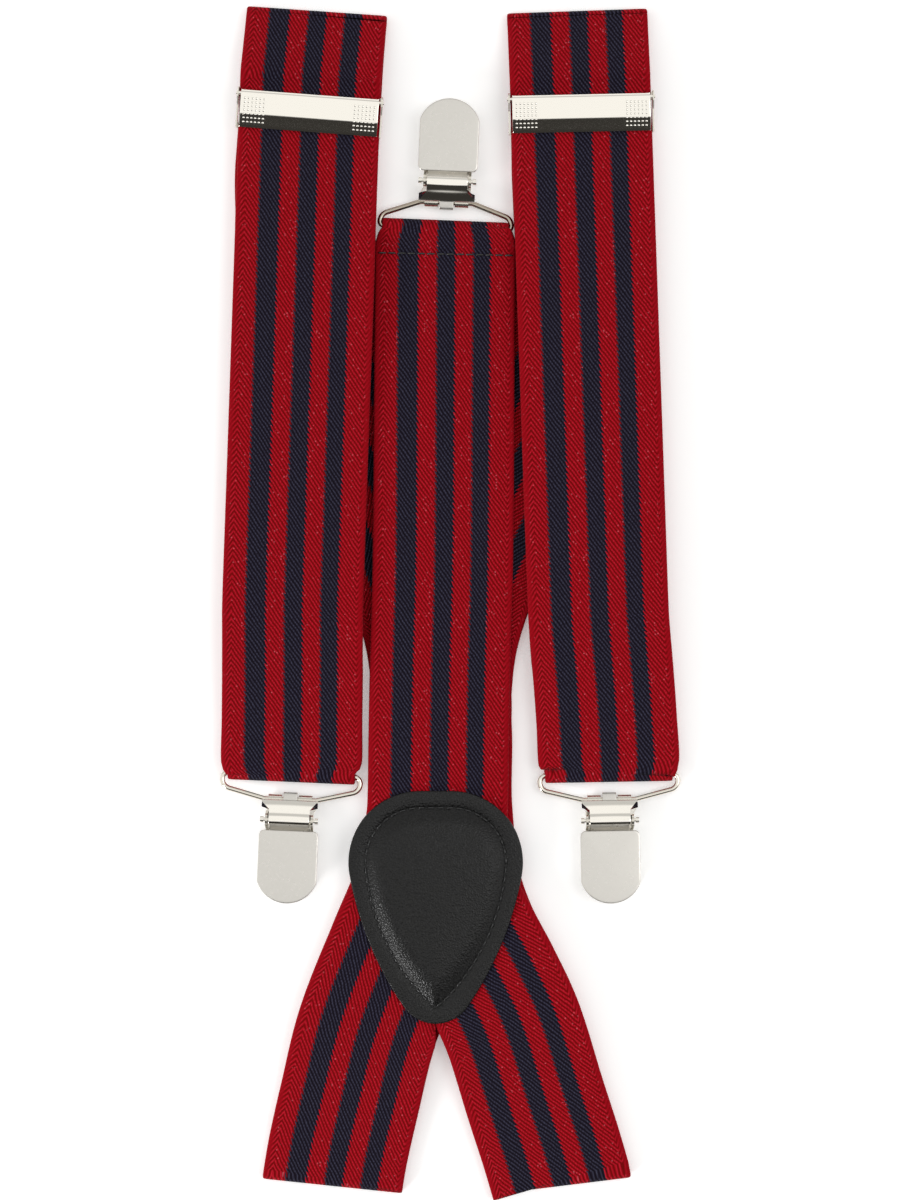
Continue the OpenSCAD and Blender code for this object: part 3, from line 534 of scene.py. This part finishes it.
AROUND = 300
rim_line = teardrop(LOBE_R, TIP_Y, TIP_R, SIDE_R, AROUND)
sewn_line = teardrop(SEW_R, SEW_TIP_Y, SEW_TIP_R, SEW_SIDE_R, AROUND)
pad_heart = np.array([0.0, -4.0])


def leather_top():
    """Height of the upper leather on rings between the rim, the sewn line and the pad's middle. From the
    groove it rises as a quarter sine, then crowns gently; outside the groove it is flat with a round edge."""
    out = np.array([1.0, 0.985, 0.96, 0.9, 0.75, 0.55, 0.35, 0.2, 0.12, 0.06, 0.0])
    out_z = np.array([-0.42, -0.14, -0.03, 0, 0.03, 0.05, 0.03, -0.06, -0.16, -0.3, -0.42])
    rings = [(sewn_line + (rim_line - sewn_line) * s, z) for s, z in zip(out, out_z)]
    for s in np.concatenate([np.linspace(0.985, 0.72, 16), np.linspace(0.69, 0.04, 20)]):
        rise = math.sin(min(1, (1 - s) / 0.26) * math.pi / 2)
        crown = 0.85 * (1 - s**2)
        rings.append((pad_heart + (sewn_line - pad_heart) * s,
                      -GROOVE + (PUFF - 0.55 + GROOVE) * rise**0.85 + crown))
    return rings


def outward(made):
    """Turns every face of a closed piece outwards."""
    work = bmesh.new()
    work.from_mesh(made.data)
    bmesh.ops.recalc_face_normals(work, faces=work.faces)
    work.to_mesh(made.data)
    work.free()
    return made


def leather_piece(name, rings, middle_z, base_z):
    """A sheet of leather as closed rings from its upper middle out over the rim and back underneath."""
    plan = np.array([line for line, _ in rings[::-1]])
    z = np.array([h for _, h in rings[::-1]])
    points = np.dstack([plan, np.broadcast_to(z[:, None], plan.shape[:2])])
    under = np.array([[*p, base_z] for p in rings[0][0] * 0.997])
    points = np.vstack([points.reshape(-1, 3), under, [[*pad_heart, middle_z]], [[*pad_heart, base_z]]])
    rows = len(rings) + 1
    faces = ring_faces(rows, AROUND).tolist()
    top, low, last = rows * AROUND, rows * AROUND + 1, (rows - 1) * AROUND
    faces += [[(i + 1) % AROUND, top, i] for i in range(AROUND)]
    faces += [[last + i, low, last + (i + 1) % AROUND] for i in range(AROUND)]
    points[:, :2] += JUNCTION
    return outward(solid(name, points, faces))


# Corrected-grain leather with a dull waxed face: pebbles about 0.5 mm wide, and pores that catch the light.
leather, hide, hide_shader = finish_for("waxed_black_leather", {
    "Roughness": 0.5, "Specular IOR Level": 0.15, "Coat Weight": 0.3, "Coat Roughness": 0.2})
hide_place = add(hide, "TexCoord").outputs["Object"]
pebbles = add(hide, "TexVoronoi", {"Vector": hide_place, "Scale": 1900.0, "Randomness": 1.0})
pores = add(hide, "TexNoise", {"Vector": hide_place, "Scale": 2600.0, "Detail": 3.0})
creases = add(hide, "TexNoise", {"Vector": hide_place, "Scale": 90.0, "Detail": 4.0})
hide_height = add(hide, "Math", {0: pores, 1: 0.6, 2: pebbles.outputs["Distance"]}, operation="MULTIPLY_ADD")
hide_grain = add(hide, "Bump", {"Height": hide_height, "Strength": 0.8, "Distance": 0.14 * MM})
hide.links.new(hide_grain.outputs[0], hide_shader.inputs["Normal"])
hide.links.new(hide_grain.outputs[0], hide_shader.inputs["Coat Normal"])
dust = add(hide, "MapRange", {"Value": pores, "From Min": 0.42, "From Max": 0.6})
tone = add(hide, "MixRGB", {"Fac": dust, "Color1": colour("#010101"), "Color2": colour("#1a1a1a")})
worn = add(hide, "MapRange", {"Value": creases, "From Min": 0.4, "From Max": 0.65})
hide_tone = add(hide, "MixRGB", {"Fac": add(hide, "Math", {0: worn, 1: 0.25}, operation="MULTIPLY"),
                                 "Color1": tone, "Color2": colour("#090909")})
hide.links.new(hide_tone.outputs[0], hide_shader.inputs["Base Color"])
hide_polish = add(hide, "MapRange", {"Value": pores, "From Min": 0.3, "From Max": 0.7,
                                     "To Min": 0.36, "To Max": 0.62})
hide.links.new(hide_polish.outputs[0], hide_shader.inputs["Roughness"])

top_z = RIM_Z + LEATHER_T
rings = [(line, top_z + z) for line, z in leather_top()]
cover = leather_piece("junction_cover_leather", rings, rings[-1][1] + 0.01, RIM_Z)
cover.data.materials.append(leather)
dress(cover, "root", "leather", "junction_cover")

back_z = JUNCTION_Z - WEB_T / 2 - 0.05
under_rings = [(pad_heart + (rim_line - pad_heart) * s, back_z - LEATHER_T + z)
               for s, z in ((1.0, 0.4), (0.995, 0.15), (0.98, 0.03), (0.9, 0), (0.5, 0), (0.1, 0))]
backing = leather_piece("junction_backing_leather", under_rings, back_z - LEATHER_T, back_z)
backing.data.materials.append(leather)
dress(backing, "root", "leather", "junction_backing")

sewn = teardrop(SEW_R, SEW_TIP_Y, SEW_TIP_R, SEW_SIDE_R, 56) + JUNCTION
after = np.roll(sewn, -1, axis=0)
gap = (after - sewn) * 0.14
stitches = thread_dashes("junction_stitches", sewn + gap, after - gap, np.full(len(sewn), top_z - 0.2), 0.26)
dress(stitches, "root", "thread", "junction_stitching")

# ---------------------------------------------------------------------------------------------------------
# Two adjusters: a pressed steel frame round the strap, and a hinged cover plate whose teeth bite the webbing.
# All of it is nickel-plated; the cover is polished and stamped with a block of beads at each end.
def metal_finish(name, code, roughness, grain, depth, wave=0.0):
    """Plated metal: the roughness varies a little with fine pitting, and broad ripples bend the mirror;
    grain is the size of the pitting as a scale and depth its height in millimetres."""
    made, tree, shader = finish_for(name, {"Base Color": colour(code), "Metallic": 1.0, "Roughness": roughness})
    place = add(tree, "TexCoord").outputs["Object"]
    pits = add(tree, "TexNoise", {"Vector": place, "Scale": grain, "Detail": 3.0})
    smear = add(tree, "MapRange", {"Value": pits, "From Min": 0.3, "From Max": 0.7,
                                   "To Min": roughness * 0.75, "To Max": roughness * 1.3})
    tree.links.new(smear.outputs[0], shader.inputs["Roughness"])
    height = add(tree, "Bump", {"Height": pits, "Strength": 0.2, "Distance": depth * MM})
    if wave:
        ripple = add(tree, "TexNoise", {"Vector": place, "Scale": 160.0, "Detail": 1.0})
        bend = add(tree, "Bump", {"Height": ripple, "Strength": 0.5, "Distance": wave * MM})
        tree.links.new(bend.outputs[0], height.inputs["Normal"])
    tree.links.new(height.outputs[0], shader.inputs["Normal"])
    return made


polished_nickel = metal_finish("polished_nickel_plate", "#f3efe6", 0.09, 2500, 0.002, 0.01)
plain_nickel = metal_finish("nickel_plated_steel", "#d9d4c9", 0.22, 1800, 0.01)
PIVOT_Y, PIVOT_Z, BARREL_R, COVER_W, PLATE_T, TEETH = 3.6, 7.4, 1.15, 36.6, 0.5, 18
BEAD_PITCH, BEAD_R, BEAD_H, BEAD_COLUMNS, BEAD_ROWS = 1.03, 0.34, 0.14, 6, 7


def placed(points, x, y, turn):
    """Points in a part's own frame, turned by so many degrees and carried to x and y on the table."""
    a = math.radians(turn)
    p = np.asarray(points, float).reshape(-1, 3)
    out = np.column_stack([p[:, 0] * math.cos(a) - p[:, 1] * math.sin(a) + x,
                           p[:, 0] * math.sin(a) + p[:, 1] * math.cos(a) + y, p[:, 2]])
    return out.reshape(np.shape(points))


def pressed_bar(profile, half_width, columns=24, corner=0.25):
    """A closed profile of [y, z], run anticlockwise as seen from +X, swept across the part. The ends are
    drawn in a little over their last bit of width, as the rolled edge of a pressing is."""
    profile = np.array(profile, float)
    middle = profile.mean(axis=0)
    x = np.concatenate([[-half_width], -half_width + corner * np.array([0.15, 0.5, 1.0]),
                        np.linspace(-half_width + corner, half_width - corner, columns)[1:-1],
                        half_width - corner * np.array([1.0, 0.5, 0.15]), [half_width]])
    rings = []
    for place in x:
        edge = max(0.0, abs(place) - (half_width - corner)) / corner
        inset = 0.12 * (1 - math.sqrt(max(0.0, 1 - edge**2)))
        ring = profile + (middle - profile) / np.maximum(
            np.linalg.norm(middle - profile, axis=1, keepdims=True), 1e-6) * inset
        rings.append(np.column_stack([np.full(len(ring), place), ring]))
    return np.array(rings)


def bar_faces(rows, ring):
    faces = ring_faces(rows, ring).tolist()
    return faces + [list(range(ring))[::-1], list(range(ring * (rows - 1), ring * rows))]


def shade_round(made, sharp_degrees=38):
    """Smooth shading that stays crisp where two faces meet more sharply than the angle."""
    made.data.polygons.foreach_set("use_smooth", [True] * len(made.data.polygons))
    made.data.set_sharp_from_angle(angle=math.radians(sharp_degrees))


def cover_profile():
    """Rolled round the pin at the top, flat, then sloping down to the front edge, all one sheet's thickness."""
    roll = np.radians(np.linspace(-150, 90, 26))
    outer = np.column_stack([PIVOT_Y + BARREL_R * np.cos(roll), PIVOT_Z + BARREL_R * np.sin(roll)])
    y = np.array([2.4, 1.2, 0.0, -1.0, -1.5, -1.8, -2.1, -2.5, -3.2, -4.0, -4.7, -5.1])
    z = np.array([8.53, 8.5, 8.47, 8.43, 8.38, 8.31, 8.2, 8.05, 7.79, 7.5, 7.25, 7.1])
    top = np.column_stack([y, z])
    under = np.column_stack([y[::-1] + 0.04, z[::-1] - PLATE_T])
    lip = [[-5.28, 6.95], [-5.25, 6.7]]
    return np.vstack([outer, top, lip, under])


beads = [(column, row, end) for end in (-1, 1) for column in range(BEAD_COLUMNS) for row in range(BEAD_ROWS)]
for hand, s in SIDES.items():
    x, y, turn = front_x(s["side"], ADJUSTER_Y), ADJUSTER_Y, ADJUSTER_TURN[hand]
    rings = pressed_bar(cover_profile(), COVER_W / 2)
    points, faces = [rings.reshape(-1, 3)], bar_faces(*rings.shape[:2])
    count = rings.shape[0] * rings.shape[1]
    dome_turn = np.linspace(0, 2 * math.pi, 10, endpoint=False)
    for column, row, end in beads:
        bx0 = end * (COVER_W / 2 - 1.1 - column * BEAD_PITCH)
        by0 = 2.3 - row * BEAD_PITCH
        bead_z = np.interp(by0, [-5.1, -1.8, -1.0, 2.4], [7.1, 8.31, 8.42, 8.53]) - 0.02
        dome = [[bx0 + BEAD_R * c * math.cos(a), by0 + BEAD_R * c * math.sin(a), bead_z + BEAD_H * h]
                for c, h in ((1, -0.6), (0.92, 0.2), (0.6, 0.72)) for a in dome_turn]
        dome.append([bx0, by0, bead_z + BEAD_H])
        points.append(np.array(dome))
        faces += [[count + i for i in face] for face in ring_faces(3, 10).tolist()]
        faces += [[count + 20 + i, count + 20 + (i + 1) % 10, count + 30] for i in range(10)]
        faces.append([count + i for i in range(9, -1, -1)])
        count += 31
    for k in range(TEETH):
        at = (k - (TEETH - 1) / 2) * COVER_W / TEETH
        wide_half, tip_half = COVER_W / TEETH * 0.36, COVER_W / TEETH * 0.14
        tooth = [[at - wide_half, 2.7, 7.1], [at + wide_half, 2.7, 7.1], [at + wide_half, 4.0, 6.75],
                 [at - wide_half, 4.0, 6.75], [at - tip_half, 3.2, 6.12], [at + tip_half, 3.2, 6.12],
                 [at + tip_half, 3.4, 6.12], [at - tip_half, 3.4, 6.12]]
        points.append(np.array(tooth))
        faces += [[count + i for i in f] for f in ([0, 1, 2, 3], [4, 7, 6, 5], [0, 4, 5, 1], [1, 5, 6, 2],
                                                   [2, 6, 7, 3], [3, 7, 4, 0])]
        count += 8
    made = outward(solid(f"{hand}_adjuster_cover_plate", placed(np.vstack(points), x, y, turn), faces))
    shade_round(made)
    made.data.materials.append(polished_nickel)
    dress(made, f"{hand}_cover", "bright_nickel", f"{hand}_adjuster_cover")

# ---------------------------------------------------------------------------------------------------------
# Three strap clips: a wire loop in the webbing's end, a pressed rear jaw with ears, a pin, a cam lever, and a
# front jaw whose oval plate presses a nylon pad on the cloth. Nickel-plated, with the plate left satin.
satin_nickel = metal_finish("satin_nickel_plate", "#d3d0ca", 0.34, 1400, 0.002)
bright_wire = metal_finish("bright_nickel_wire", "#e4ded2", 0.12, 2200, 0.004)
# The back clip's wire takes this darker, browner and rougher copy of the wire finish.
darker_wire = metal_finish("dull_nickel_wire", "#b3a89a", 0.2, 2200, 0.006)
nylon, nylon_tree, nylon_shader = finish_for("natural_nylon", {
    "Base Color": colour("#e4e2da"), "Roughness": 0.45, "Subsurface Weight": 0.15})
nylon_noise = add(nylon_tree, "TexNoise", {
    "Vector": add(nylon_tree, "TexCoord").outputs["Object"], "Scale": 700.0, "Detail": 2.0})
nylon_skin = add(nylon_tree, "Bump", {"Height": nylon_noise, "Strength": 0.3, "Distance": 0.02 * MM})
nylon_tree.links.new(nylon_skin.outputs[0], nylon_shader.inputs["Normal"])

WIRE_R, WIRE_GAP, WIRE_LOW_R, PIN_Y, PIN_Z = 0.72, 6.8, 2.6, 5.3, 5.5
PLATE_HALF, PLATE_FROM, PLATE_END, PLATE_Z, SHEET_T, TAIL_Z = 7.9, 8.1, 27.5, 3.95, 0.6, 2.92
CLIP_KINDS = {"left": (16.5, 1.9, 76, 180), "right": (16.5, 1.9, 76, 180), "back": (16.3, 1.2, 70.4, 0)}


def wire_path(straight, bend, low_turn):
    """Half of the wire's middle line and its heading in degrees, out along the strap's fold, round the
    corner, in round a wider bend, and straight to the knuckles; the other half mirrors it."""
    top = -WIRE_GAP
    rows = [[x, top, 0] for x in (0.01, straight * 0.5, straight)]
    rows += [[straight + bend * math.cos(a), top + bend + bend * math.sin(a), math.degrees(a) + 90]
             for a in np.radians(np.linspace(-84, 0, 15))]
    low_x = straight + bend - WIRE_LOW_R
    rows += [[low_x + WIRE_LOW_R * math.cos(a), top + bend + WIRE_LOW_R * math.sin(a), math.degrees(a) + 90]
             for a in np.radians(np.linspace(0, low_turn, 14))[1:]]
    x, y, heading = rows[-1]
    knee = np.array([6.88, 0.0])
    for step in np.linspace(0, 1, 5)[1:-1]:
        rows.append([x + (knee[0] - x) * step, y + (knee[1] - y) * step, low_turn + 90])
    rows += [[6.88, 0, (low_turn + 270) / 2], [3, 0, 180], [0.01, 0, 180]]
    right = np.array(rows)
    left = right[::-1] * [-1, 1, 1]
    left[:, 2] = -right[::-1, 2]
    return np.vstack([right, left])


def lever_flap(x):
    """The flap's profile at x across the lever: rolled from the cam's top down to the finger's edge. The
    middle of it bows up a little, so that a lens of the barrel mirrors the table."""
    bow = 0.3 * (1 - (x / 7.5) ** 2)
    top = np.array([[5.2, 7.3], [4.5, 7.24], [3.8, 7.0], [3.1, 6.55], [2.5, 6.02], [1.95, 5.55], [1.3, 5.12],
                    [0.6, 4.82], [0.15, 4.7]])
    under = np.array([[0.02, 4.5], [0.0, 4.1], [0.2, 3.98], [0.9, 4.08], [1.7, 4.35], [2.5, 4.85], [3.2, 5.35],
                      [3.9, 5.6], [4.9, 5.7]])
    lift = np.clip((top[:, 0] - 0.1) / 3.4, 0, 1) * (1 - np.clip((top[:, 0] - 3.6) / 1.6, 0, 1))
    top = top + np.outer(lift * bow * 0.6, [0, 1])
    return np.vstack([top, under])


def swept(rings):
    rings = np.array(rings)
    return rings.reshape(-1, 3), bar_faces(*rings.shape[:2])


def plate_line(half, start, end, count):
    """Outline of the jaw's plate, anticlockwise: chamfered corners, straight sides and a round end."""
    r = half * 1.06
    low = math.acos(half / r)
    arc = np.linspace(low, math.pi - low, 60)
    around = [[-half + 1.1, start], [half - 1.1, start], [half - 0.3, start + 0.4], [half, start + 1.3]]
    around += [[r * math.cos(a), end - r + r * math.sin(a)] for a in arc]
    around += [[-half, start + 1.3], [-half + 0.3, start + 0.4]]
    line = np.array(around + around[:1])
    run = np.concatenate([[0], np.cumsum(np.linalg.norm(np.diff(line, axis=0), axis=1))])
    at = np.linspace(0, run[-1], count, endpoint=False)
    return np.column_stack([np.interp(at, run, line[:, 0]), np.interp(at, run, line[:, 1])])


def joined(parts):
    points, faces, count = [], [], 0
    for p, f in parts:
        points.append(np.asarray(p, float).reshape(-1, 3))
        faces += [[i + count for i in face] for face in f]
        count += len(points[-1])
    return np.vstack(points), faces


AROUND_PLATE = 120
for hand, (straight, bend, low_turn, half_turned) in CLIP_KINDS.items():
    wx, wy = WIRE_AT[hand]
    turn = half_turned + CLIP_TURN[hand]
    a = math.radians(turn)
    home = (wx - WIRE_GAP * math.sin(a), wy + WIRE_GAP * math.cos(a), turn)

    path = wire_path(straight, bend, low_turn)
    around = np.linspace(0, 2 * math.pi, 16, endpoint=False)
    heading = np.radians(path[:, 2])
    out = WIRE_R * np.cos(around)
    wire_points = np.empty((len(path), 16, 3))
    wire_points[..., 0] = path[:, :1] + out * np.sin(heading)[:, None]
    wire_points[..., 1] = path[:, 1:2] - out * np.cos(heading)[:, None]
    wire_points[..., 2] = WIRE_Z + WIRE_R * np.sin(around)
    rows = len(path)
    closed = [[i * 16 + j, (i + 1) % rows * 16 + j, (i + 1) % rows * 16 + (j + 1) % 16, i * 16 + (j + 1) % 16]
              for i in range(rows) for j in range(16)]
    made = outward(solid(f"{hand}_clip_wire_loop", placed(wire_points.reshape(-1, 3), *home), closed))
    shade_round(made, 60)
    made.data.materials.append(darker_wire if hand == "back" else bright_wire)
    dress(made, f"{hand}_wire", "wire", f"{hand}_clip_wire")

    cam_turn = np.radians(np.arange(-180, 180, 5.0))
    cam_r = np.interp(np.degrees(cam_turn), [-180, 0, 110, 150, 180], [1.85, 1.85, 0.9, 1.85, 1.85])
    cam = np.column_stack([PIN_Y + cam_r * np.sin(cam_turn), PIN_Z - cam_r * np.cos(cam_turn)])
    barrel = swept(pressed_bar(cam, 5.45, 12, 0.3))
    flap = swept([[[t * np.interp(y, [2.0, 2.45], [7.45, 5.4]), y, z] for y, z in lever_flap(t * 5.4)]
                  for t in np.linspace(-1, 1, 27)])
    lever = joined([barrel, flap])
    made = outward(solid(f"{hand}_clip_lever_plate", placed(lever[0], *home), lever[1]))
    shade_round(made)
    made.data.materials.append(polished_nickel)
    dress(made, f"{hand}_lever", "bright_nickel", f"{hand}_clip_lever")

    edge = [(0.0, 0.3), (0.0, 0.42), (0.07, 0.53), (0.2, 0.585), (0.45, 0.6)]
    outline = [(plate_line(PLATE_HALF - inset, PLATE_FROM + inset, PLATE_END - inset, AROUND_PLATE),
                PLATE_Z + z)
               for inset, z in [(0.25, 0.0), (0.08, 0.04), (0.0, 0.15)] + edge]
    middle = np.array([0, 17.0])
    crown = outline[-1][0]
    outline += [(middle + (crown - middle) * s, PLATE_Z + SHEET_T + 0.16 * (1 - s**2))
                for s in (0.9, 0.7, 0.45, 0.2)]
    plate_points = np.vstack([np.column_stack([line, np.full(len(line), z)]) for line, z in outline])
    rings_n = len(outline)
    plate_points = np.vstack([plate_points, [[*middle, PLATE_Z]], [[*middle, PLATE_Z + SHEET_T + 0.165]]])
    plate_faces = ring_faces(rings_n, AROUND_PLATE).tolist()
    last = (rings_n - 1) * AROUND_PLATE
    plate_faces += [[i, (i + 1) % AROUND_PLATE, rings_n * AROUND_PLATE] for i in range(AROUND_PLATE)]
    plate_faces += [[last + (i + 1) % AROUND_PLATE, last + i, rings_n * AROUND_PLATE + 1]
                    for i in range(AROUND_PLATE)]
    neck_top = np.array([[8.9, 4.5], [8.5, 4.5], [8.1, 4.28], [7.6, 3.9], [7.1, 3.62],
                         [6.5, 3.54], [4.0, 3.52]])
    neck_low = np.array([[4.0, 2.92], [6.6, 2.93], [7.3, 3.05], [7.9, 3.45], [8.4, 3.85], [8.8, 3.97]])
    neck = swept([[[x, *p] for p in np.vstack([neck_top, neck_low])] for x in np.linspace(-5.2, 5.2, 9)])
    tail = np.array([[4.5, TAIL_Z], [-1.05, TAIL_Z], [-1.35, 2.66], [-1.4, 2.4], [-1.4, 1.62],
                     [-1.98, 1.62], [-2.0, 2.6], [-1.95, 3.0], [-1.75, 3.35], [-1.4, 3.52], [4.5, 3.52]])
    tab = swept(pressed_bar(tail, 1.85, 5, 0.2))
    jaw = joined([(plate_points, plate_faces), neck, tab])
    made = outward(solid(f"{hand}_clip_face_plate", placed(jaw[0], *home), jaw[1]))
    shade_round(made, 32)
    made.data.materials.append(satin_nickel)
    dress(made, f"{hand}_jaw", "satin_nickel", f"{hand}_clip_front_jaw")

# ---------------------------------------------------------------------------------------------------------
# Pieces that keep the frame's own shape: pressed frames and rear jaws, pins, nylon pads, and the foam disc
# inside the junction. Each takes the finish of what it is made of.
foam, foam_tree, foam_shader = finish_for("grey_polyether_foam", {
    "Base Color": colour("#8f8f8c"), "Roughness": 0.95})
foam_cells = add(foam_tree, "TexVoronoi", {
    "Vector": add(foam_tree, "TexCoord").outputs["Object"], "Scale": 1600.0})
foam_skin = add(foam_tree, "Bump", {
    "Height": foam_cells.outputs["Distance"], "Strength": 0.6, "Distance": 0.2 * MM})
foam_tree.links.new(foam_skin.outputs[0], foam_shader.inputs["Normal"])
kept = {"clip_body": plain_nickel, "clip_pin": polished_nickel, "pad": nylon, "adjuster_frame": plain_nickel,
        "adjuster_pin": polished_nickel, "junction_padding": foam}
for item in list(bpy.data.objects):
    for ending, finish in kept.items():
        if item.type == "MESH" and item.name.split(".")[0].endswith(ending):
            item.data.materials.clear()
            item.data.materials.append(finish)
